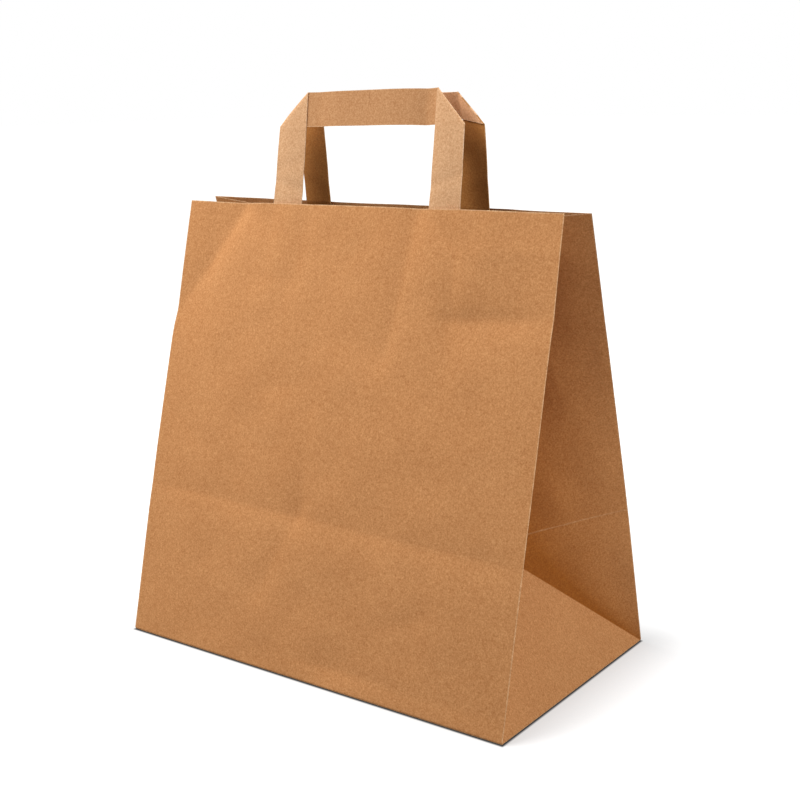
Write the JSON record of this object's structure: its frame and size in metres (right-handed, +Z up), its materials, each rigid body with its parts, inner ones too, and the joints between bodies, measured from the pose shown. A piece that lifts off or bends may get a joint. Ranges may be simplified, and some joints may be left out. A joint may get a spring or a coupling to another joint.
{
  "type": "paper carrier bag",
  "caption": "Open kraft paper carrier bag with a block bottom, folded side gussets and flat folded paper handles glued inside the mouth.",
  "frame": {"origin": "centre of the bottom, on the surface that the bag stands on", "axes": "+Z up towards the mouth and the handles, -Y out of the front panel, +X along the bag's width"},
  "size_m": [0.305, 0.178, 0.3684],
  "materials": {
    "body_kraft": "matte",
    "handle_kraft": "matte",
    "patch_kraft": "matte"
  },
  "bodies": {
    "root": {"bag_body": "body_kraft", "front_handle": "handle_kraft", "rear_handle": "handle_kraft", "front_handle_patch": "patch_kraft", "rear_handle_patch": "patch_kraft"}
  },
  "joints": []
}
